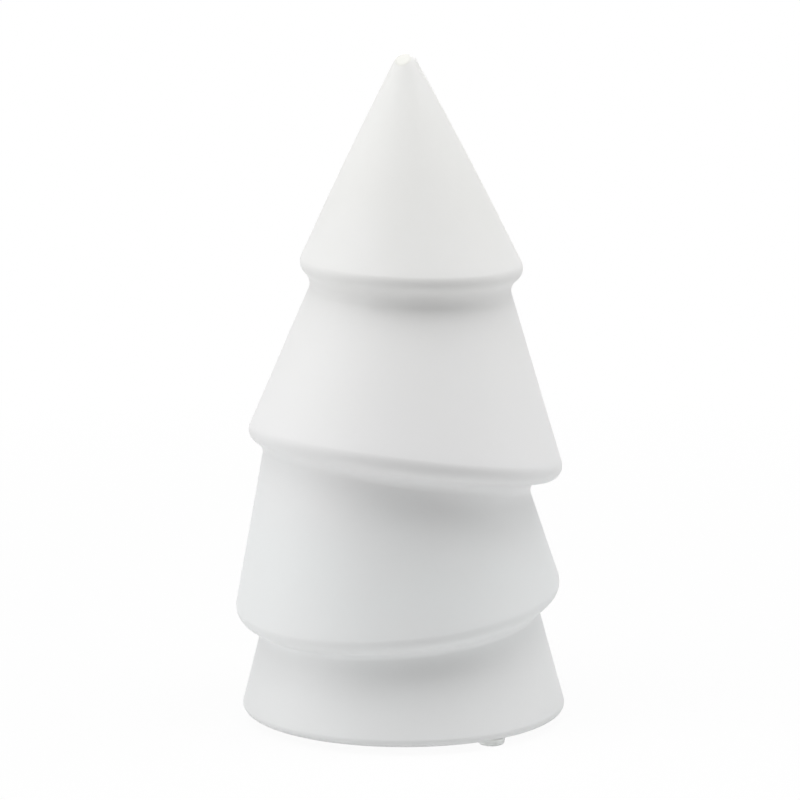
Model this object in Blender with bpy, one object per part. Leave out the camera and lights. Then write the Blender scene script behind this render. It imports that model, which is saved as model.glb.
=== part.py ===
"""A Christmas tree ornament of four leaning tiers, cast hollow in white ceramic, on three clear bumper feet.

The tree is one casting. Its skin is lofted down through the rim and the neck of each tier, rounded at each,
turned in under the base, up through the drain hole and back to the tip on the inside, one wall in.
Metres, +Z up, front towards -Y, standing on the plane z = 0.
"""
import math

import bmesh
import bpy
import numpy as np

MM = 0.001

# Bumper feet, low clear discs stuck on by hand in a ring under the base
FOOT_DIAMETER = 8.0 * MM
FOOT_THICKNESS = 1.9 * MM
FOOT_DRAFT = 0.15 * MM  # how much smaller in radius the foot is at its lower end
FOOT_EDGE_ROUND = 0.9 * MM
FOOT_EDGE_DISTANCE = 2.1 * MM  # from a foot's edge to the edge of the base
FRONT_FOOT_DIRECTION = 36.4  # degrees from the front towards the right
BACK_FOOT_DIRECTION = 152.0
LEFT_FOOT_DIRECTION = 264.0
ADHESIVE_FILM = 0.3 * MM

# Base, under the bottom tier
BASE_RADIUS = 49.5 * MM
BASE_EDGE_ROUND = 2.1 * MM
FOOT_RING_MARGIN = 0.9 * MM  # flat left beside a foot on the ring that carries it
UNDERSIDE_RECESS = 0.8 * MM
DRAIN_HOLE_DIAMETER = 18.0 * MM
DRAIN_HOLE_ROUND = 1.2 * MM

# Lower tier: its rim overhangs the bottom tier's neck
LOWER_RIM_RISE = 34.3 * MM  # above the base
LOWER_RIM_RADIUS = 49.7 * MM
LOWER_RIM_SHIFT = -1.8 * MM  # to the right of the base's centre, as for every shift
LOWER_RIM_LEAN_RIGHT = -5.1  # degrees that the rim drops to the right
LOWER_RIM_LEAN_FRONT = 6.1  # degrees that the rim drops to the front
LOWER_RIM_ROLL = 4.2 * MM
LOWER_UNDERSIDE_DROP = 5.6 * MM
LOWER_UNDERSIDE_WIDTH = 7.8 * MM
LOWER_NECK_SHIFT = 0.7 * MM  # against its rim
LOWER_NECK_TWIST_RIGHT = 1.2  # degrees more than its rim
LOWER_NECK_TWIST_FRONT = -2.9
LOWER_NECK_COVE = 1.9 * MM

# Upper tier
UPPER_RIM_RISE = 43.2 * MM  # above the lower rim
UPPER_RIM_RADIUS = 48.9 * MM
UPPER_RIM_SHIFT = 0.8 * MM
UPPER_RIM_LEAN_RIGHT = 8.3
UPPER_RIM_LEAN_FRONT = -4.3
UPPER_RIM_ROLL = 4.6 * MM
UPPER_UNDERSIDE_DROP = 2.1 * MM
UPPER_UNDERSIDE_WIDTH = 9.0 * MM
UPPER_NECK_SHIFT = -3.4 * MM
UPPER_NECK_TWIST_RIGHT = -1.0
UPPER_NECK_TWIST_FRONT = 0.5
UPPER_NECK_COVE = 3.1 * MM

# Top tier, which runs up to the tip
TOP_RIM_RISE = 57.2 * MM  # above the upper rim
TOP_RIM_RADIUS = 34.2 * MM
TOP_RIM_SHIFT = 2.4 * MM
TOP_RIM_LEAN_RIGHT = 2.1
TOP_RIM_LEAN_FRONT = 1.8
TOP_RIM_ROLL = 3.9 * MM
TOP_UNDERSIDE_DROP = 4.3 * MM
TOP_UNDERSIDE_WIDTH = 4.8 * MM
TOP_NECK_SHIFT = -0.4 * MM
TOP_NECK_TWIST_RIGHT = -0.7
TOP_NECK_TWIST_FRONT = 1.3
TOP_NECK_COVE = 4.9 * MM
TOP_SIDE_CROWN = 0.6 * MM  # how far the ring half way up the side stands out, before it is rounded
TIP_RISE = 63.4 * MM  # above the top rim
TIP_SHIFT = 0.44 * MM
TIP_RADIUS = 3.9 * MM

# Wall of the casting
WALL = 4.0 * MM
FLOOR = 4.5 * MM
CAVITY_ROUND = 5.0 * MM
TIP_POCKET_RADIUS = 5.0 * MM  # where the hollow is narrower than this, the slip closed it

# Fineness of the meshes
TREE_SIDES = 60
FOOT_SIDES = 24
ROLL_STEPS = 5  # rows between the two ends of a rounding
COVE_STEPS = 4
SIDE_STEPS = 3
HOLE_STEPS = 3
HOLLOW_STEPS = 2
POCKET_STEPS = 4
FOOT_EDGE_STEPS = 4
CLOSED_ROW = 0.05 * MM  # a row of points narrower than this is left to the skin's end point
ALL_THE_ROOM = 1.0  # metres, a rounding radius that always takes all the room there is
SHARED_ROOM = 0.49  # how much of the run between two rounded corners either rounding may take

BASE_HEIGHT = FOOT_THICKNESS + ADHESIVE_FILM
FOOT_CIRCLE_RADIUS = BASE_RADIUS - FOOT_EDGE_DISTANCE - FOOT_DIAMETER / 2


def clear_scene():
    for thing in list(bpy.data.objects):
        bpy.data.objects.remove(thing, do_unlink=True)


def circle(radius, height, shift=0.0, lean_right=0.0, lean_front=0.0, sides=TREE_SIDES):
    """Points of a circle whose plane drops to the right and to the front by two angles in degrees."""
    slope_right = math.tan(math.radians(lean_right))
    slope_front = math.tan(math.radians(lean_front))
    normal = np.array([slope_right, -slope_front, 1.0])
    normal /= np.linalg.norm(normal)
    across = np.array([1.0, 0.0, 0.0]) - normal * normal[0]
    across /= np.linalg.norm(across)
    back = np.cross(normal, across)
    turn = np.linspace(0.0, 2.0 * math.pi, sides, endpoint=False)
    centre = np.array([shift, 0.0, height])
    return centre + radius * (np.outer(np.cos(turn), across) + np.outer(np.sin(turn), back))


def point_row(point, sides=TREE_SIDES):
    """A row whose points all lie together, where a lofted skin closes."""
    return np.tile(point, (sides, 1))


def corner_arc(before, corner, after, radius, steps, room_before, room_after):
    """Rows that round a corner ring on each meridian with one circular arc, no longer than its room."""
    to_before = before - corner
    to_after = after - corner
    length_before = np.linalg.norm(to_before, axis=1, keepdims=True)
    length_after = np.linalg.norm(to_after, axis=1, keepdims=True)
    to_before /= length_before
    to_after /= length_after
    cosine = np.clip((to_before * to_after).sum(axis=1, keepdims=True), -1.0, 1.0)
    half_angle = np.arccos(cosine) / 2
    tangent = radius / np.tan(half_angle)
    tangent = np.minimum(tangent, room_before * length_before)
    tangent = np.minimum(tangent, room_after * length_after)
    start = corner + to_before * tangent
    end = corner + to_after * tangent
    pull = np.sin(half_angle)
    rows = []
    for part in np.linspace(0.0, 1.0, steps + 1):
        weights = (1 - part) ** 2, 2 * pull * part * (1 - part), part ** 2
        rows.append((weights[0] * start + weights[1] * corner + weights[2] * end) / sum(weights))
    return rows


def mean_radius(points):
    return np.linalg.norm((points - points.mean(axis=0))[:, :2], axis=1).mean()


def rounded_rows(corners):
    """Rows of a skin through corner rings, each given as (points, radius, steps), between two end points."""
    rows = []
    last = len(corners) - 2
    for index in range(1, len(corners) - 1):
        points, radius, steps = corners[index]
        if steps == 0:
            rows.append(points)
            continue
        room_before = 1.0 if index == 1 else SHARED_ROOM
        room_after = 1.0 if index == last else SHARED_ROOM
        before = corners[index - 1][0]
        after = corners[index + 1][0]
        rows.extend(corner_arc(before, points, after, radius, steps, room_before, room_after))
    open_rows = [row for row in rows if mean_radius(row) > CLOSED_ROW]
    return corners[0][0][0], open_rows, corners[-1][0][0]


def outward(points):
    """Level unit vectors from a ring's middle to each of its points."""
    flat = points - points.mean(axis=0)
    flat[:, 2] = 0.0
    return flat / np.linalg.norm(flat, axis=1, keepdims=True)


def inset(above, corner, below, wall):
    """A corner ring moved into the casting by the wall, square to the two surfaces that meet in it."""
    out = outward(corner)
    normals = []
    for start, end in ((above, corner), (corner, below)):
        run = end - start
        sideways = (run * out).sum(axis=1)
        downwards = run[:, 2]
        normals.append(np.stack([downwards, -sideways], axis=1) / np.hypot(sideways, downwards)[:, None])
    mitre = (normals[0] + normals[1]) / (1.0 + (normals[0] * normals[1]).sum(axis=1, keepdims=True))
    inner = corner + wall * mitre[:, :1] * out
    inner[:, 2] += wall * mitre[:, 1]
    return inner


def tip_corner_radius(rim_radius, rise):
    """Radius at which the cone's side meets the level of the tip, when a ball of TIP_RADIUS rounds it."""
    reach = math.hypot(rim_radius, rise - TIP_RADIUS)
    half_angle = math.atan2(rim_radius, rise - TIP_RADIUS) - math.asin(TIP_RADIUS / reach)
    return TIP_RADIUS * math.tan(math.pi / 4 - half_angle / 2)


def outer_rings():
    """Corner rings of the outside, from the tip down to the edge of the base."""
    lower_height = BASE_HEIGHT + LOWER_RIM_RISE
    upper_height = lower_height + UPPER_RIM_RISE
    top_height = upper_height + TOP_RIM_RISE
    rings = {
        "tip": circle(tip_corner_radius(TOP_RIM_RADIUS, TIP_RISE), top_height + TIP_RISE, TIP_SHIFT),
        "top_rim": circle(TOP_RIM_RADIUS, top_height, TOP_RIM_SHIFT, TOP_RIM_LEAN_RIGHT, TOP_RIM_LEAN_FRONT),
        "top_neck": circle(
            TOP_RIM_RADIUS - TOP_UNDERSIDE_WIDTH,
            top_height - TOP_UNDERSIDE_DROP,
            TOP_RIM_SHIFT + TOP_NECK_SHIFT,
            TOP_RIM_LEAN_RIGHT + TOP_NECK_TWIST_RIGHT,
            TOP_RIM_LEAN_FRONT + TOP_NECK_TWIST_FRONT,
        ),
        "upper_rim": circle(
            UPPER_RIM_RADIUS, upper_height, UPPER_RIM_SHIFT, UPPER_RIM_LEAN_RIGHT, UPPER_RIM_LEAN_FRONT
        ),
        "upper_neck": circle(
            UPPER_RIM_RADIUS - UPPER_UNDERSIDE_WIDTH,
            upper_height - UPPER_UNDERSIDE_DROP,
            UPPER_RIM_SHIFT + UPPER_NECK_SHIFT,
            UPPER_RIM_LEAN_RIGHT + UPPER_NECK_TWIST_RIGHT,
            UPPER_RIM_LEAN_FRONT + UPPER_NECK_TWIST_FRONT,
        ),
        "lower_rim": circle(
            LOWER_RIM_RADIUS, lower_height, LOWER_RIM_SHIFT, LOWER_RIM_LEAN_RIGHT, LOWER_RIM_LEAN_FRONT
        ),
        "lower_neck": circle(
            LOWER_RIM_RADIUS - LOWER_UNDERSIDE_WIDTH,
            lower_height - LOWER_UNDERSIDE_DROP,
            LOWER_RIM_SHIFT + LOWER_NECK_SHIFT,
            LOWER_RIM_LEAN_RIGHT + LOWER_NECK_TWIST_RIGHT,
            LOWER_RIM_LEAN_FRONT + LOWER_NECK_TWIST_FRONT,
        ),
        "base": circle(BASE_RADIUS, BASE_HEIGHT),
    }
    half_way = (rings["tip"] + rings["top_rim"]) / 2
    rings["top_side"] = half_way + TOP_SIDE_CROWN * outward(half_way)
    return rings


def inner_rings(outer, foot_ring_inner):
    """Corner rings of the hollow, from its floor up to the closed end under the tip."""
    names = ["tip", "top_rim", "top_neck", "upper_rim", "upper_neck", "lower_rim", "lower_neck", "base"]
    path = [outer[name] for name in names] + [foot_ring_inner]
    rings = {}
    for index in range(1, len(names)):
        rings[names[index]] = inset(path[index - 1], path[index], path[index + 1], WALL)
    side = rings["base"] - rings["lower_neck"]
    share = (BASE_HEIGHT + FLOOR - rings["lower_neck"][:, 2]) / side[:, 2]
    rings["floor"] = rings["lower_neck"] + side * share[:, None]
    rim_radius = mean_radius(rings["top_rim"])
    narrowing = mean_radius(outer["top_rim"]) - mean_radius(outer["tip"])
    share = (rim_radius - TIP_POCKET_RADIUS) / narrowing
    rings["pocket"] = rings["top_rim"] + share * (outer["tip"] - outer["top_rim"])
    return rings


def tree_rows():
    """Rows of the whole casting: down the outside, in under the base, and up again inside."""
    outer = outer_rings()
    hole_radius = DRAIN_HOLE_DIAMETER / 2
    recess_height = BASE_HEIGHT + UNDERSIDE_RECESS
    foot_ring_radius = FOOT_CIRCLE_RADIUS - FOOT_DIAMETER / 2 - FOOT_RING_MARGIN
    foot_ring_inner = circle(foot_ring_radius, BASE_HEIGHT)
    inner = inner_rings(outer, foot_ring_inner)
    outside = [
        (point_row(outer["tip"].mean(axis=0)), 0.0, 0),
        (outer["tip"], TIP_RADIUS, ROLL_STEPS),
        (outer["top_side"], ALL_THE_ROOM, SIDE_STEPS),
        (outer["top_rim"], TOP_RIM_ROLL, ROLL_STEPS),
        (outer["top_neck"], TOP_NECK_COVE, COVE_STEPS),
        (outer["upper_rim"], UPPER_RIM_ROLL, ROLL_STEPS),
        (outer["upper_neck"], UPPER_NECK_COVE, COVE_STEPS),
        (outer["lower_rim"], LOWER_RIM_ROLL, ROLL_STEPS),
        (outer["lower_neck"], LOWER_NECK_COVE, COVE_STEPS),
        (outer["base"], BASE_EDGE_ROUND, ROLL_STEPS),
    ]
    underside = [
        (foot_ring_inner, 0.0, 0),
        (circle(foot_ring_radius - UNDERSIDE_RECESS, recess_height), 0.0, 0),
        (circle(hole_radius, recess_height), DRAIN_HOLE_ROUND, HOLE_STEPS),
        (circle(hole_radius, BASE_HEIGHT + FLOOR), DRAIN_HOLE_ROUND, HOLE_STEPS),
    ]
    hollow = [(inner["floor"], CAVITY_ROUND, COVE_STEPS)]
    for name in ("lower_neck", "lower_rim", "upper_neck", "upper_rim", "top_neck", "top_rim"):
        hollow.append((inner[name], CAVITY_ROUND, HOLLOW_STEPS))
    hollow.append((inner["pocket"], ALL_THE_ROOM, POCKET_STEPS))
    hollow.append((point_row(inner["pocket"].mean(axis=0)), 0.0, 0))
    return rounded_rows(outside + underside + hollow)


def foot_rows():
    """Rows of a bumper, from the flat that is stuck on down to the flat that it stands on."""
    radius = FOOT_DIAMETER / 2
    return rounded_rows([
        (point_row((0.0, 0.0, 0.0), FOOT_SIDES), 0.0, 0),
        (circle(radius, 0.0, sides=FOOT_SIDES), 0.0, 0),
        (circle(radius - FOOT_DRAFT, -FOOT_THICKNESS, sides=FOOT_SIDES), FOOT_EDGE_ROUND, FOOT_EDGE_STEPS),
        (point_row((0.0, 0.0, -FOOT_THICKNESS), FOOT_SIDES), 0.0, 0),
    ])


def lofted_mesh(name, skin, sharp_angle):
    """A closed mesh over a skin's rows of points, drawn together to its two end points."""
    start, rows, end = skin
    build = bmesh.new()
    first = build.verts.new(start)
    rings = [[build.verts.new(point) for point in row] for row in rows]
    last = build.verts.new(end)
    sides = len(rings[0])
    for here in range(sides):
        after = (here + 1) % sides
        build.faces.new((first, rings[0][here], rings[0][after]))
        for upper, lower in zip(rings, rings[1:]):
            build.faces.new((upper[here], lower[here], lower[after], upper[after]))
        build.faces.new((rings[-1][here], last, rings[-1][after]))
    mesh = bpy.data.meshes.new(name)
    build.to_mesh(mesh)
    build.free()
    mesh.shade_smooth()
    mesh.set_sharp_from_angle(angle=math.radians(sharp_angle))
    return mesh


def material(name, colour, roughness, transmission=0.0):
    finish = bpy.data.materials.new(name)
    finish.use_nodes = True
    surface = finish.node_tree.nodes["Principled BSDF"]
    surface.inputs["Base Color"].default_value = (*colour, 1.0)
    surface.inputs["Roughness"].default_value = roughness
    surface.inputs["Metallic"].default_value = 0.0
    surface.inputs["Transmission Weight"].default_value = transmission
    return finish


def place(name, mesh, parent, location=(0.0, 0.0, 0.0)):
    thing = bpy.data.objects.new(name, mesh)
    bpy.context.collection.objects.link(thing)
    thing.parent = parent
    thing.location = location
    return thing


def footprint_centre(mesh):
    corners = np.array([vertex.co for vertex in mesh.vertices])
    return (corners.min(axis=0) + corners.max(axis=0)) / 2


def add_tree(stand):
    mesh = lofted_mesh("tree_shell", tree_rows(), sharp_angle=40.0)
    mesh.materials.append(material("matt_white_ceramic", (0.80, 0.81, 0.80), roughness=0.55))
    centre = footprint_centre(mesh)
    stand.location = (-centre[0], -centre[1], 0.0)
    place("tree_shell", mesh, stand)


def add_feet(stand):
    mesh = lofted_mesh("bumper_foot", foot_rows(), sharp_angle=30.0)
    mesh.materials.append(material("clear_polyurethane", (0.80, 0.82, 0.82), roughness=0.2, transmission=0.6))
    directions = {
        "foot_front_right": FRONT_FOOT_DIRECTION,
        "foot_back": BACK_FOOT_DIRECTION,
        "foot_left": LEFT_FOOT_DIRECTION,
    }
    for name, direction in directions.items():
        across = FOOT_CIRCLE_RADIUS * math.sin(math.radians(direction))
        behind = -FOOT_CIRCLE_RADIUS * math.cos(math.radians(direction))
        place(name, mesh, stand, (across, behind, FOOT_THICKNESS))


clear_scene()
tree_stand = bpy.data.objects.new("tree_stand", None)
bpy.context.collection.objects.link(tree_stand)
add_tree(tree_stand)
add_feet(tree_stand)
bpy.context.view_layer.update()
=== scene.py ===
import math

import bpy
import numpy as np
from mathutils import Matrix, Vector, noise


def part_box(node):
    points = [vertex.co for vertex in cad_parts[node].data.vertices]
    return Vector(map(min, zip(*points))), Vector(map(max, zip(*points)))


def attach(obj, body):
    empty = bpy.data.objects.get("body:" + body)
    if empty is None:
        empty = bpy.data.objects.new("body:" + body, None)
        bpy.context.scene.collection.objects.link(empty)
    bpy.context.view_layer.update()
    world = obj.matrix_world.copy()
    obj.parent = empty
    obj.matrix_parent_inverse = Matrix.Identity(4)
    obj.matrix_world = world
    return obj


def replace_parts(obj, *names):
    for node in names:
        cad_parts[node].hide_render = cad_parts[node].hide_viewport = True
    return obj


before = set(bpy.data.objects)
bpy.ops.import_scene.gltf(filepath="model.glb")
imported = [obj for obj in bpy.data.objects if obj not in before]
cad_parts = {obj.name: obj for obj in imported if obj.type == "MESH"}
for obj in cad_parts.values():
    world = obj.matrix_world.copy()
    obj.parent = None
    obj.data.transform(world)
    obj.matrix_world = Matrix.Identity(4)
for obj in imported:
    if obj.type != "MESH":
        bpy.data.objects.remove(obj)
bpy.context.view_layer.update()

# Camera
# The photograph was taken with a long lens from about a metre away, a little above the tip and looking
# slightly down, so the sides of the cones stay straight while the rims and the base show as shallow curves.
CAMERA_DISTANCE = 1.0  # metres
CAMERA_ELEVATION = 9.47  # degrees above the horizon
CAMERA_AIM = Vector((-0.00016, 0.0, 0.09674))  # metres, near the middle of the tree
LENS = 149.94  # mm, for a picture 36 mm wide


def from_front(azimuth, elevation):
    """Unit vector towards a direction, in degrees to the right of the front and above the horizon."""
    turn, lift = math.radians(azimuth), math.radians(elevation)
    return Vector((math.sin(turn) * math.cos(lift), -math.cos(turn) * math.cos(lift), math.sin(lift)))


def add_to_scene(name, data):
    thing = bpy.data.objects.new(name, data)
    bpy.context.scene.collection.objects.link(thing)
    return thing


def aim(thing, target, azimuth, elevation, distance):
    """Puts a camera or lamp at a distance from the target, looking at it."""
    direction = from_front(azimuth, elevation)
    thing.location = target + direction * distance
    thing.rotation_euler = direction.to_track_quat("Z", "Y").to_euler()


camera = add_to_scene("camera", bpy.data.cameras.new("camera"))
camera.data.lens = LENS
aim(camera, CAMERA_AIM, 0.0, CAMERA_ELEVATION, CAMERA_DISTANCE)
bpy.context.scene.camera = camera

# The tree
# One hollow casting of white clay: slip is poured into a plaster mould, drained through the hole in the
# base once a wall has set, and the piece is fettled, sponged smooth and finished with a matt white glaze.
# Sizes are in millimetres and angles in degrees. A rim leans by what it drops to the right and to the front.
BASE_HEIGHT = 2.2  # of the underside above the table
BASE = {"radius": 49.5, "edge_round": 2.1}
# A tier's cone ends below in a rim, rounded by its roll. Under the rim the casting goes in by the width and
# down by the drop to a neck, turned by the twist against the rim, and meets the next cone there in a cove.
LOWER = {
    "rise": 34.3, "radius": 49.7, "shift": -1.8, "lean": (-5.1, 6.1), "roll": 4.2,
    "drop": 5.6, "width": 7.8, "neck_shift": 0.7, "twist": (1.2, -2.9), "cove": 1.9,
}
UPPER = {
    "rise": 43.2, "radius": 48.9, "shift": 0.8, "lean": (8.3, -4.3), "roll": 4.6,
    "drop": 2.1, "width": 9.0, "neck_shift": -3.4, "twist": (-1.0, 0.5), "cove": 3.1,
}
TOP = {
    "rise": 57.2, "radius": 34.2, "shift": 2.4, "lean": (2.1, 1.8), "roll": 3.9,
    "drop": 4.3, "width": 4.8, "neck_shift": -0.4, "twist": (-0.7, 1.3), "cove": 4.9,
}
TOP_SIDE_CROWN = 0.6  # how far the top cone bulges half way up
TIP = {"rise": 63.4, "shift": 0.44, "radius": 3.9}
# The ball that rounds the tip had a flat rubbed on it in the raw clay, as far from its middle as the reach.
TIP_FLAT = {"azimuth": -22.0, "elevation": 50.0, "reach": 3.3, "softness": 0.2}
FOOT_RING_INNER_RADIUS = 38.5  # of the flat ring under the base that carries the feet
UNDERSIDE_RECESS = 0.8  # how far the underside lies back within that ring
UNDERSIDE_ROUND = 0.4
DRAIN_HOLE = {"radius": 9.0, "round": 1.2}
WALL = 4.0
FLOOR = 4.5
CAVITY_ROUND = 5.0
TIP_POCKET_RADIUS = 5.0  # of the hollow where it closes under the tip
ALL_THE_ROOM = 1000.0  # a rounding radius that always takes all the room there is
TREE_SIDES = 180
CLOSED_ROW = 0.1  # a row of points narrower than this is left to the skin's end point
SHARED_ROOM = 0.49  # how much of the run between two rounded corners either rounding may take
ARC_STEP = 5.0  # degrees of arc between the rows that round a corner
ROW_SPACING = 2.5
TIP_ROW_SPACING = 0.2
TIP_ROWS = 5.0  # how far below the uncut tip the rows lie close
HAND_WAVINESS = 0.10  # how deep the fettling knife and sponge left hollows in the casting
HAND_WAVE = 24.0  # from one hollow to the next
HAND_WAVINESS_FADE = 12.0  # the height over the table up to which they grow to their full depth
MM_PER_METRE = 1000.0


def circle(radius, height, shift=0.0, lean=(0.0, 0.0), sides=TREE_SIDES):
    """Points of a circle whose plane drops to the right and to the front by two angles."""
    slope_right, slope_front = (math.tan(math.radians(angle)) for angle in lean)
    normal = np.array([slope_right, -slope_front, 1.0])
    normal /= np.linalg.norm(normal)
    across = np.array([1.0, 0.0, 0.0]) - normal * normal[0]
    across /= np.linalg.norm(across)
    back = np.cross(normal, across)
    turn = np.linspace(0.0, 2.0 * math.pi, sides, endpoint=False)
    centre = np.array([shift, 0.0, height])
    return centre + radius * (np.outer(np.cos(turn), across) + np.outer(np.sin(turn), back))


def rim_and_neck(tier, height):
    """The corner ring of a tier's rim, and the one below it where its underside meets the next tier."""
    rim = circle(tier["radius"], height, tier["shift"], tier["lean"])
    neck_lean = [lean + twist for lean, twist in zip(tier["lean"], tier["twist"])]
    neck_shift = tier["shift"] + tier["neck_shift"]
    neck = circle(tier["radius"] - tier["width"], height - tier["drop"], neck_shift, neck_lean)
    return rim, neck


def outward(points):
    """Level unit vectors from a ring's middle to each of its points."""
    flat = points - points.mean(axis=0)
    flat[:, 2] = 0.0
    return flat / np.linalg.norm(flat, axis=1, keepdims=True)


def mean_radius(points):
    return np.linalg.norm((points - points.mean(axis=0))[:, :2], axis=1).mean()


def inset(above, corner, below):
    """A corner ring moved into the casting by the wall, square to the two surfaces that meet in it."""
    out = outward(corner)
    normals = []
    for start, end in ((above, corner), (corner, below)):
        sideways = ((end - start) * out).sum(axis=1)
        downwards = (end - start)[:, 2]
        normals.append(np.stack([downwards, -sideways], axis=1) / np.hypot(sideways, downwards)[:, None])
    mitre = (normals[0] + normals[1]) / (1.0 + (normals[0] * normals[1]).sum(axis=1, keepdims=True))
    inner = corner + WALL * mitre[:, :1] * out
    inner[:, 2] += WALL * mitre[:, 1]
    return inner


def corner_arc(before, corner, after, radius, room_before, room_after):
    """Rows that round a corner ring with one circular arc on each meridian, no longer than its room."""
    to_before = before - corner
    to_after = after - corner
    length_before = np.linalg.norm(to_before, axis=1, keepdims=True)
    length_after = np.linalg.norm(to_after, axis=1, keepdims=True)
    to_before /= length_before
    to_after /= length_after
    cosine = np.clip((to_before * to_after).sum(axis=1, keepdims=True), -1.0, 1.0)
    half_angle = np.arccos(cosine) / 2
    tangent = radius / np.tan(half_angle)
    tangent = np.minimum(tangent, room_before * length_before)
    tangent = np.minimum(tangent, room_after * length_after)
    start = corner + to_before * tangent
    end = corner + to_after * tangent
    pull = np.sin(half_angle)
    steps = math.ceil((180.0 - 2.0 * math.degrees(half_angle.min())) / ARC_STEP) + 1
    rows = []
    for part in np.linspace(0.0, 1.0, steps + 1):
        weights = (1 - part) ** 2, 2 * pull * part * (1 - part), part ** 2
        rows.append((weights[0] * start + weights[1] * corner + weights[2] * end) / sum(weights))
    return rows


def rounded_rows(corners):
    """Rows of points through corner rings, each given with its rounding radius and None for an end point."""
    rows = []
    for index in range(1, len(corners) - 1):
        ring, radius = corners[index]
        if radius == 0.0:
            rows.append(ring)
            continue
        before, after = corners[index - 1], corners[index + 1]
        room_before = 1.0 if before[1] is None else SHARED_ROOM
        room_after = 1.0 if after[1] is None else SHARED_ROOM
        rows.extend(corner_arc(before[0], ring, after[0], radius, room_before, room_after))
    return [row for row in rows if mean_radius(row) > CLOSED_ROW]


def filled_in(rows, spacing):
    """The rows with even ones between any two that lie further apart than the spacing."""
    full = [rows[0]]
    for row in rows[1:]:
        gap = np.linalg.norm(row - full[-1], axis=1).max()
        pieces = max(1, math.ceil(gap / spacing))
        previous = full[-1]
        full.extend(previous + (row - previous) * part / pieces for part in range(1, pieces + 1))
    return full


def close_at_tip(rows):
    """The outside's rows filled in, closer where the flat on the tip is cut."""
    full = filled_in(rows, ROW_SPACING)
    tip_end = full[0][:, 2].mean() - TIP_ROWS
    near = [row for row in full if row[:, 2].mean() > tip_end]
    return filled_in(near, TIP_ROW_SPACING) + full[len(near):]


def tip_corner_radius():
    """Radius of the ring at the level of the tip whose corner a ball of TIP radius rounds off."""
    below_ball = TIP["rise"] - TIP["radius"]
    reach = math.hypot(TOP["radius"], below_ball)
    half_angle = math.atan2(TOP["radius"], below_ball) - math.asin(TIP["radius"] / reach)
    return TIP["radius"] * math.tan(math.pi / 4 - half_angle / 2)


def tree_skin():
    """Rows of the whole casting from the tip down the outside, in under the base and up again inside."""
    lower_height = BASE_HEIGHT + LOWER["rise"]
    upper_height = lower_height + UPPER["rise"]
    top_height = upper_height + TOP["rise"]
    base = circle(BASE["radius"], BASE_HEIGHT)
    lower_rim, lower_neck = rim_and_neck(LOWER, lower_height)
    upper_rim, upper_neck = rim_and_neck(UPPER, upper_height)
    top_rim, top_neck = rim_and_neck(TOP, top_height)
    tip = circle(tip_corner_radius(), top_height + TIP["rise"], TIP["shift"])
    half_way = (tip + top_rim) / 2
    top_side = half_way + TOP_SIDE_CROWN * outward(half_way)
    apex = np.tile(tip.mean(axis=0), (TREE_SIDES, 1))
    outside = [
        (apex, None), (tip, TIP["radius"]), (top_side, ALL_THE_ROOM), (top_rim, TOP["roll"]),
        (top_neck, TOP["cove"]), (upper_rim, UPPER["roll"]), (upper_neck, UPPER["cove"]),
        (lower_rim, LOWER["roll"]), (lower_neck, LOWER["cove"]), (base, BASE["edge_round"]),
    ]
    recess_height = BASE_HEIGHT + UNDERSIDE_RECESS
    floor_height = BASE_HEIGHT + FLOOR
    ring_inner = circle(FOOT_RING_INNER_RADIUS, BASE_HEIGHT)
    underside = [
        (ring_inner, UNDERSIDE_ROUND),
        (circle(FOOT_RING_INNER_RADIUS - UNDERSIDE_RECESS, recess_height), UNDERSIDE_ROUND),
        (circle(DRAIN_HOLE["radius"], recess_height), DRAIN_HOLE["round"]),
        (circle(DRAIN_HOLE["radius"], floor_height), DRAIN_HOLE["round"]),
    ]
    path = [tip, top_rim, top_neck, upper_rim, upper_neck, lower_rim, lower_neck, base, ring_inner]
    inner = [inset(*path[index - 1:index + 2]) for index in range(1, len(path) - 1)]
    side = inner[-1] - inner[-2]
    floor_edge = inner[-2] + side * ((floor_height - inner[-2][:, 2]) / side[:, 2])[:, None]
    share = (mean_radius(inner[0]) - TIP_POCKET_RADIUS) / (mean_radius(top_rim) - mean_radius(tip))
    pocket = inner[0] + share * (tip - top_rim)
    pocket_end = np.tile(pocket.mean(axis=0), (TREE_SIDES, 1))
    hollow = [(floor_edge, CAVITY_ROUND)]
    hollow += [(ring, CAVITY_ROUND) for ring in reversed(inner[:-1])]
    hollow += [(pocket, ALL_THE_ROOM), (pocket_end, None)]
    shown = rounded_rows(outside + [(ring_inner, 0.0)])
    hidden = rounded_rows([outside[-1]] + underside + hollow)
    return apex[0], shown, hidden, pocket_end[0]


def skin_mesh(name, start, rows, end, bare_from=None):
    """A closed mesh over rows of points, drawn together to a point at both ends. From the row that
    bare_from gives on, it takes its second material."""
    sides = len(rows[0])
    points = np.vstack([start] + list(rows) + [end])
    last = len(points) - 1
    here = np.arange(sides)
    after = (here + 1) % sides
    faces = [(0, 1 + a, 1 + b) for a, b in zip(here, after)]
    for index in range(len(rows) - 1):
        top, bottom = 1 + index * sides, 1 + (index + 1) * sides
        faces.extend((top + a, bottom + a, bottom + b, top + b) for a, b in zip(here, after))
    top = 1 + (len(rows) - 1) * sides
    faces.extend((top + a, last, top + b) for a, b in zip(here, after))
    mesh = bpy.data.meshes.new(name)
    mesh.from_pydata(points.tolist(), [], faces)
    if bare_from is not None:
        row_of_face = np.minimum(np.arange(len(faces)) // sides, len(rows))
        mesh.polygons.foreach_set("material_index", (row_of_face > bare_from).astype(np.int32))
    mesh.shade_smooth()
    return mesh


def fitted_to_frame(points, low, high, node):
    """Points in millimetres, moved and scaled from their box to that of the frame's node."""
    frame_low, frame_high = (np.array(corner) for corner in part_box(node))
    return frame_low + (points - low) / (high - low) * (frame_high - frame_low)


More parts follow.
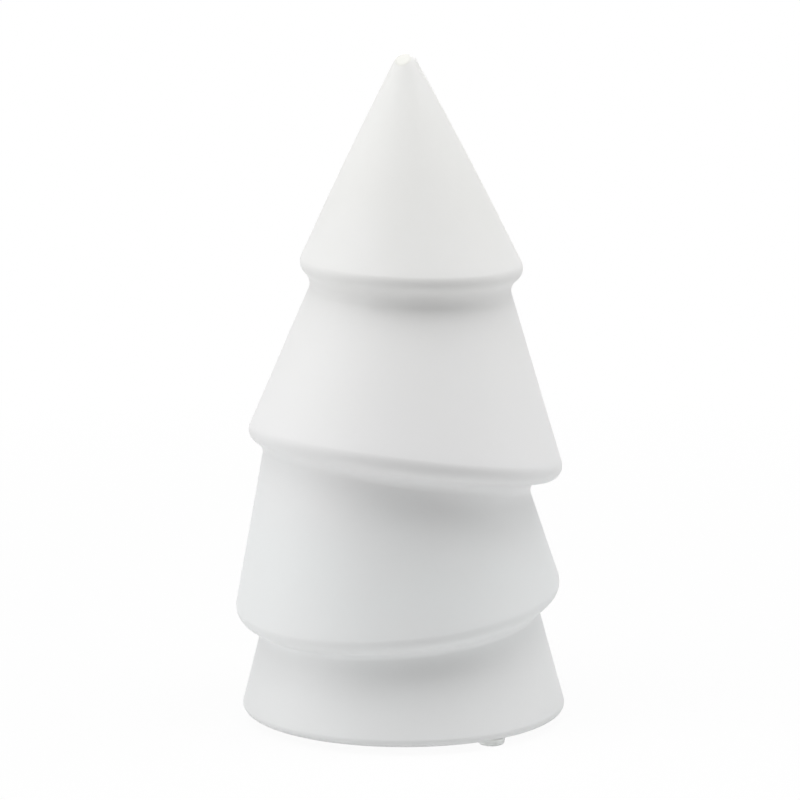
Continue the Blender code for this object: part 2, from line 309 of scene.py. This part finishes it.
def hand_finished(rows):
    """The outside with the shallow hollows that fettling and sponging leave, cut into the casting."""
    grid = np.array(rows)
    along = np.gradient(grid, axis=0)
    around = np.roll(grid, -1, axis=1) - np.roll(grid, 1, axis=1)
    normals = np.cross(along, around)
    normals /= np.linalg.norm(normals, axis=2, keepdims=True)
    depth = [[0.5 + 0.5 * noise.noise(Vector(point) / HAND_WAVE) for point in row] for row in grid]
    fade = np.clip(grid[:, :, 2:] / HAND_WAVINESS_FADE, 0.0, 1.0)
    return list(grid - normals * np.array(depth)[:, :, None] * HAND_WAVINESS * fade)


def flat_on_tip(rows, apex):
    """The rows pressed down on to the flat on the tip's ball, whose edge is a little soft."""
    facing = np.array(from_front(TIP_FLAT["azimuth"], TIP_FLAT["elevation"]))
    ball_centre = apex - np.array([0.0, 0.0, TIP["radius"]])
    cut = []
    for row in rows:
        beyond = ((row - ball_centre) @ facing - TIP_FLAT["reach"]) / facing[2]
        cut.append(row.copy())
        cut[-1][:, 2] -= TIP_FLAT["softness"] * np.logaddexp(0.0, beyond / TIP_FLAT["softness"])
    return cut


def linear(colour):
    """An sRGB colour written as hex, as the linear values that the shaders take."""
    parts = [int(colour[index:index + 2], 16) / 255.0 for index in (1, 3, 5)]
    return tuple(p / 12.92 if p <= 0.04045 else ((p + 0.055) / 1.055) ** 2.4 for p in parts) + (1.0,)


def add_node(tree, kind, settings=None, links=None):
    """A shader node with its settings, which are properties or socket values, and links into its sockets."""
    node = tree.nodes.new(kind)
    for key, value in (settings or {}).items():
        if isinstance(key, str) and hasattr(node, key):
            setattr(node, key, value)
        else:
            node.inputs[key].default_value = value
    for key, source in (links or {}).items():
        tree.links.new(source, node.inputs[key])
    return node


def new_material(name):
    """A new material, its tree of nodes and its output, which is the only node in it."""
    made = bpy.data.materials.new(name)
    made.use_nodes = True
    made.node_tree.nodes.clear()
    return made, made.node_tree, add_node(made.node_tree, "ShaderNodeOutputMaterial")


def pattern_scale(spacing):
    """The scale of a pattern whose marks lie this many millimetres apart, on pieces made in metres."""
    return MM_PER_METRE / spacing


PAINTED_TOP_SHADE_FROM = 160.0  # the height from which up it is painted darkest and warmest, as shade
PAINTED_LIGHT_BELOW_FROM = 20.0  # the height from which down it is painted lightest and coolest, as light from below
# The painted light and shade from the top, at 0, to the bottom, at 1: darker and warmer above, lighter and
# cooler below.
PAINTED_LIGHT_TINTS = {0.0: "#E5E5E3", 0.2: "#E8E8E7", 0.5: "#E8E8E8", 0.8: "#E8EAEA", 1.0: "#E8E9E9"}
PAINTED_TINT_UNEVENNESS = 0.15  # how far along the tints it wavers at one height
PAINTED_TINT_WAVER = 22.2  # from one place where the tints waver to the next
TIP_PAINTED_SHADE_DEPTHS = (0.5, 0.05)  # how far under the flat on the tip the painted shade starts, and is at its fullest
GLAZE_ROUGHNESS = (0.52, 0.62)  # matt glazes lie between 0.5 and 0.7
EGGSHELL_GRAIN = 1.11  # the real grain, about 0.3 mm, is a pixel wide, so it is drawn coarser to show
EGGSHELL_DEPTH = 0.06


def matt_white_glaze(flat_level):
    """Matt glaze on white clay, fired without gloss, so light spreads softly over its fine eggshell grain
    and nothing mirrors in it. Its colour holds painted light and shade: darker and warmer on the top tier,
    lighter and cooler lower down, and painted shade makes the flat on the tip darker still."""
    material, tree, output = new_material("matt_white_glaze")
    place = add_node(tree, "ShaderNodeTexCoord").outputs["Object"]
    height = add_node(tree, "ShaderNodeSeparateXYZ", {}, {"Vector": place}).outputs["Z"]
    # Painted light and shade by height: the tints run from darker and warmer on the top tier to lighter and
    # cooler low down.
    painted_light_by_height = add_node(
        tree, "ShaderNodeMapRange",
        {"From Min": PAINTED_TOP_SHADE_FROM / MM_PER_METRE, "From Max": PAINTED_LIGHT_BELOW_FROM / MM_PER_METRE},
        {"Value": height},
    )
    waver = add_node(
        tree, "ShaderNodeTexNoise", {"Scale": pattern_scale(PAINTED_TINT_WAVER), "Detail": 2.0}, {"Vector": place}
    )
    unevenness = add_node(
        tree, "ShaderNodeMapRange", {"To Min": -PAINTED_TINT_UNEVENNESS, "To Max": PAINTED_TINT_UNEVENNESS},
        {"Value": waver.outputs["Fac"]},
    )
    amount = add_node(
        tree, "ShaderNodeMath", {"use_clamp": True}, {0: painted_light_by_height.outputs[0], 1: unevenness.outputs[0]}
    )
    painted_light_ramp = add_node(tree, "ShaderNodeValToRGB", {}, {"Fac": amount.outputs[0]})
    stops = painted_light_ramp.color_ramp.elements
    for position in list(PAINTED_LIGHT_TINTS)[1:-1]:
        stops.new(position)
    for stop, tint in zip(stops, PAINTED_LIGHT_TINTS.values()):
        stop.color = linear(tint)
    # Painted shade: near the flat on the tip the colour darkens towards #DFDFDA, so the lamps overhead don't
    # light it too brightly.
    facing = from_front(TIP_FLAT["azimuth"], TIP_FLAT["elevation"])
    towards_flat = add_node(
        tree, "ShaderNodeVectorMath", {"operation": "DOT_PRODUCT", 1: facing}, {0: place}
    )
    shade_start_level, shade_full_level = (flat_level - depth / MM_PER_METRE for depth in TIP_PAINTED_SHADE_DEPTHS)
    tip_shade = add_node(
        tree, "ShaderNodeMapRange",
        {"interpolation_type": "SMOOTHSTEP", "From Min": shade_start_level, "From Max": shade_full_level},
        {"Value": towards_flat.outputs["Value"]},
    )
    colour = add_node(
        tree, "ShaderNodeMix", {"data_type": "RGBA", 7: linear("#DFDFDA")},
        {0: tip_shade.outputs[0], 6: painted_light_ramp.outputs["Color"]},
    )
    eggshell = add_node(
        tree, "ShaderNodeTexNoise", {"Scale": pattern_scale(EGGSHELL_GRAIN), "Detail": 3.0},
        {"Vector": place},
    )
    bump = add_node(
        tree, "ShaderNodeBump", {"Strength": 0.25, "Distance": EGGSHELL_DEPTH / MM_PER_METRE},
        {"Height": eggshell.outputs["Fac"]},
    )
    roughness = add_node(
        tree, "ShaderNodeMapRange", {"To Min": GLAZE_ROUGHNESS[0], "To Max": GLAZE_ROUGHNESS[1]},
        {"Value": eggshell.outputs["Fac"]},
    )
    surface = add_node(
        tree, "ShaderNodeBsdfPrincipled", {"IOR": 1.5, "Specular IOR Level": 0.4},
        {"Base Color": colour.outputs[2], "Roughness": roughness.outputs[0], "Normal": bump.outputs[0]},
    )
    tree.links.new(surface.outputs[0], output.inputs["Surface"])
    return material


CLAY_GRAIN = 0.4  # the real grain, under 0.1 mm, is finer than a pixel, so it is drawn coarser to show
CLAY_GRAIN_DEPTH = 0.08
CLAY_STAIN = 11.1  # from one darker place to the next


def bare_biscuit():
    """The same clay without glaze, under the base and inside: rougher and creamier, with faint stains."""
    material, tree, output = new_material("bare_biscuit_clay")
    place = add_node(tree, "ShaderNodeTexCoord").outputs["Object"]
    grain = add_node(
        tree, "ShaderNodeTexNoise", {"Scale": pattern_scale(CLAY_GRAIN), "Detail": 2.0}, {"Vector": place}
    )
    stain = add_node(
        tree, "ShaderNodeTexNoise", {"Scale": pattern_scale(CLAY_STAIN), "Detail": 4.0}, {"Vector": place}
    )
    colour = add_node(
        tree, "ShaderNodeMix", {"data_type": "RGBA", 6: linear("#E9E5DC"), 7: linear("#E2DDD2")},
        {0: stain.outputs["Fac"]},
    )
    bump = add_node(
        tree, "ShaderNodeBump", {"Strength": 0.5, "Distance": CLAY_GRAIN_DEPTH / MM_PER_METRE},
        {"Height": grain.outputs["Fac"]},
    )
    surface = add_node(
        tree, "ShaderNodeBsdfPrincipled", {"IOR": 1.5, "Roughness": 0.85},
        {"Base Color": colour.outputs[2], "Normal": bump.outputs[0]},
    )
    tree.links.new(surface.outputs[0], output.inputs["Surface"])
    return material


apex, shown, hidden, pocket_end = tree_skin()
flattened = flat_on_tip(close_at_tip(shown), apex)
box_low = np.min([row.min(axis=0) for row in flattened], axis=0)
box_high = np.max([row.max(axis=0) for row in flattened], axis=0)
outside = hand_finished(flattened)
inside = filled_in(hidden, 2 * ROW_SPACING)
tree_rows = fitted_to_frame(np.array(outside + inside), box_low, box_high, "tree_shell")
tree_start = tree_rows[0].mean(axis=0)
tree_end = fitted_to_frame(pocket_end, box_low, box_high, "tree_shell")
flat_level = (tree_rows @ np.array(from_front(TIP_FLAT["azimuth"], TIP_FLAT["elevation"]))).max()
tree = add_to_scene(
    "ceramic_tree", skin_mesh("ceramic_tree", tree_start, tree_rows, tree_end, bare_from=len(outside) - 2)
)
tree.data.materials.append(matt_white_glaze(flat_level))
tree.data.materials.append(bare_biscuit())
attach(tree, "root")
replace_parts(tree, "tree_shell")

# The feet
# Bumpers of clear soft polyurethane, cast in drops on a sheet and peeled off it, each stuck under the base
# with its own film of adhesive. They keep the bare clay off the table. Sizes are in millimetres.
BUMPER_DRAFT = 0.15  # how much smaller its radius is at the bottom
BUMPER_ROUND = 0.9
BUMPER_TOP_ROUND = 0.15
BUMPER_DISH = 0.12  # how deep the middle of its underside is hollow
BUMPER_DISH_SHARE = 0.5  # how much of the radius the hollow takes
BUMPER_DISH_ROUND = 1.0
FILM_INSET = 0.1  # from the edge of the bumper to that of its film
FILM_CLEARANCE = 0.02  # between the film and what it joins
FILM_ROUND = 0.08
BUMPER_SIDES = 96
BUMPER_ROW_SPACING = 0.5


def disc_rows(corners, top, bottom):
    """Rows of a round disc through corners given as (radius, height, rounding), and its two end points."""
    rings = [(circle(radius, height, sides=BUMPER_SIDES), rounding) for radius, height, rounding in corners]
    ends = [(np.tile([0.0, 0.0, height], (BUMPER_SIDES, 1)), None) for height in (top, bottom)]
    rows = filled_in(rounded_rows([ends[0]] + rings + [ends[1]]), BUMPER_ROW_SPACING)
    return ends[0][0][0], rows, ends[1][0][0]


def add_disc(name, disc, spot, material):
    """A disc in millimetres put in its spot in metres, riding with the tree."""
    start, rows, end = (spot + np.array(part) / MM_PER_METRE for part in disc)
    made = add_to_scene(name, skin_mesh(name, start, rows, end))
    made.data.materials.append(material)
    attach(made, "root")
    return made


BUMPER_CLOUD = 2.86  # from one cloudier place in the resin to the next
BUMPER_CLOUD_DEPTH = 0.1


def clear_polyurethane():
    """Clear soft resin whose satin skin spreads what comes through, so it glows with the white round it."""
    material, tree, output = new_material("clear_polyurethane_cast")
    place = add_node(tree, "ShaderNodeTexCoord").outputs["Object"]
    cloud = add_node(
        tree, "ShaderNodeTexNoise", {"Scale": pattern_scale(BUMPER_CLOUD), "Detail": 2.0}, {"Vector": place}
    )
    colour = add_node(
        tree, "ShaderNodeMix", {"data_type": "RGBA", 6: linear("#F6F8F7"), 7: linear("#EDF0EF")},
        {0: cloud.outputs["Fac"]},
    )
    bump = add_node(
        tree, "ShaderNodeBump", {"Strength": 0.2, "Distance": BUMPER_CLOUD_DEPTH / MM_PER_METRE},
        {"Height": cloud.outputs["Fac"]},
    )
    surface = add_node(
        tree, "ShaderNodeBsdfPrincipled", {"IOR": 1.49, "Roughness": 0.65, "Transmission Weight": 1.0},
        {"Base Color": colour.outputs[2], "Normal": bump.outputs[0]},
    )
    tree.links.new(surface.outputs[0], output.inputs["Surface"])
    return material


FILM_PATCHES = 0.83  # from one place where it has wetted the clay to the next
FILM_ROUGHNESS = (0.25, 0.6)  # shiny where it has wetted, and dull between


def adhesive_film():
    """Milky rubber adhesive, shiny in patches, whose edge is a pale line between the bumper and the clay."""
    material, tree, output = new_material("milky_rubber_adhesive")
    place = add_node(tree, "ShaderNodeTexCoord").outputs["Object"]
    patches = add_node(
        tree, "ShaderNodeTexNoise", {"Scale": pattern_scale(FILM_PATCHES), "Detail": 2.0}, {"Vector": place}
    )
    haze = add_node(
        tree, "ShaderNodeMapRange", {"To Min": FILM_ROUGHNESS[0], "To Max": FILM_ROUGHNESS[1]},
        {"Value": patches.outputs["Fac"]},
    )
    surface = add_node(
        tree, "ShaderNodeBsdfPrincipled",
        {"Base Color": linear("#F2F2F0"), "IOR": 1.52, "Transmission Weight": 0.2},
        {"Roughness": haze.outputs[0]},
    )
    tree.links.new(surface.outputs[0], output.inputs["Surface"])
    return material


bumper_finish = clear_polyurethane()
film_finish = adhesive_film()
clay_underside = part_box("tree_shell")[0].z * MM_PER_METRE
for place_name in ("front_right", "back", "left"):
    low, high = (corner * MM_PER_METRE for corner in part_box("foot_" + place_name))
    radius, thickness = (high.x - low.x) / 2, high.z - low.z
    middle = np.array([(low.x + high.x) / 2, (low.y + high.y) / 2, low.z]) / MM_PER_METRE
    bumper = disc_rows(
        [
            (radius, thickness, BUMPER_TOP_ROUND),
            (radius - BUMPER_DRAFT, 0.0, BUMPER_ROUND),
            (radius * BUMPER_DISH_SHARE, 0.0, BUMPER_DISH_ROUND),
        ],
        thickness, BUMPER_DISH,
    )
    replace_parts(add_disc("bumper_" + place_name, bumper, middle, bumper_finish), "foot_" + place_name)
    film_radius = radius - FILM_INSET
    film_top, film_bottom = clay_underside - FILM_CLEARANCE, thickness + FILM_CLEARANCE
    film = disc_rows(
        [(film_radius, film_top, FILM_ROUND), (film_radius, film_bottom, FILM_ROUND)], film_top, film_bottom
    )
    add_disc("adhesive_film_" + place_name, film, middle, film_finish)

# The table and backdrop
# A sheet of matt white paper that the tree stands on, with white walls round it that show but light nothing.
# The paper shows as white but for a faint soft shadow round the base, which fades out with distance, so no
# edge is in view.
FLOOR_RADIUS = 3.0  # metres
FLOOR_SIDES = 64
SHADOW_KEPT = 0.05  # how much of the paper's own shading shows near the tree
SHADOW_FADES = (0.10, 0.60)  # metres from the middle, over which that goes to nothing

floor_mesh = bpy.data.meshes.new("floor")
floor_turns = [2 * math.pi * step / FLOOR_SIDES for step in range(FLOOR_SIDES)]
floor_mesh.from_pydata(
    [(FLOOR_RADIUS * math.cos(turn), FLOOR_RADIUS * math.sin(turn), 0.0) for turn in floor_turns],
    [], [tuple(range(FLOOR_SIDES))],
)
floor = add_to_scene("floor", floor_mesh)


def camera_like_ray(tree):
    """One for a ray from the camera, or one that a glossy or clear surface passes on, and otherwise zero."""
    rays = add_node(tree, "ShaderNodeLightPath").outputs
    mirrored = add_node(
        tree, "ShaderNodeMath", {"operation": "MAXIMUM"},
        {0: rays["Is Glossy Ray"], 1: rays["Is Transmission Ray"]},
    )
    return add_node(
        tree, "ShaderNodeMath", {"operation": "MAXIMUM"}, {0: rays["Is Camera Ray"], 1: mirrored.outputs[0]}
    ).outputs[0]


def white_paper():
    """Matt white paper, which shows as plain white but for the shadow near the tree."""
    material, tree, output = new_material("matt_white_paper")
    place = add_node(tree, "ShaderNodeTexCoord").outputs["Object"]
    distance = add_node(tree, "ShaderNodeVectorMath", {"operation": "LENGTH"}, {0: place})
    whiteness = add_node(
        tree, "ShaderNodeMapRange",
        {"From Min": SHADOW_FADES[0], "From Max": SHADOW_FADES[1], "To Min": 1 - SHADOW_KEPT, "To Max": 1.0},
        {"Value": distance.outputs["Value"]},
    )
    share = add_node(
        tree, "ShaderNodeMath", {"operation": "MULTIPLY"}, {0: whiteness.outputs[0], 1: camera_like_ray(tree)}
    )
    paper = add_node(tree, "ShaderNodeBsdfDiffuse", {"Color": linear("#E8E8E8")})
    white = add_node(tree, "ShaderNodeEmission", {"Color": (1.0, 1.0, 1.0, 1.0), "Strength": 1.0})
    mixed = add_node(
        tree, "ShaderNodeMixShader", {}, {0: share.outputs[0], 1: paper.outputs[0], 2: white.outputs[0]}
    )
    tree.links.new(mixed.outputs[0], output.inputs["Surface"])
    return material


floor.data.materials.append(white_paper())

world = bpy.data.worlds.new("white_walls")
world.use_nodes = True
world.node_tree.nodes.clear()
background = add_node(
    world.node_tree, "ShaderNodeBackground", {"Color": (1.0, 1.0, 1.0, 1.0)},
    {"Strength": camera_like_ray(world.node_tree)},
)
add_node(world.node_tree, "ShaderNodeOutputWorld", {}, {"Surface": background.outputs[0]})
bpy.context.scene.world = world

# The light
# A product shot under seven soft boxes of white cloth, all one size: the strongest overhead, two high up at
# the front left and the right, and four weaker ones low at both sides. None stands near the camera.
LAMPS = {  # power in watts
    "overhead_box": {"azimuth": 0.0, "elevation": 85.0, "power": 7.5},
    "upper_left_box": {"azimuth": -60.0, "elevation": 60.0, "power": 5.15},
    "upper_right_box": {"azimuth": 90.0, "elevation": 60.0, "power": 5.25},
    "left_box": {"azimuth": -90.0, "elevation": 10.0, "power": 3.8},
    "front_left_box": {"azimuth": -60.0, "elevation": 10.0, "power": 2.85},
    "right_box": {"azimuth": 90.0, "elevation": 10.0, "power": 3.1},
    "front_right_box": {"azimuth": 60.0, "elevation": 10.0, "power": 1.45},
}
BOX_SIZE = 0.9  # metres across
BOX_DISTANCE = 1.2  # metres from the middle of the tree
LAMP_TARGET = Vector((0.0, 0.0, 0.1))

for name, lamp in LAMPS.items():
    light = bpy.data.lights.new(name, "AREA")
    light.shape = "DISK"
    light.size = BOX_SIZE
    light.energy = lamp["power"]
    aim(add_to_scene(name, light), LAMP_TARGET, lamp["azimuth"], lamp["elevation"], BOX_DISTANCE)

bpy.context.scene.view_settings.view_transform = "Standard"
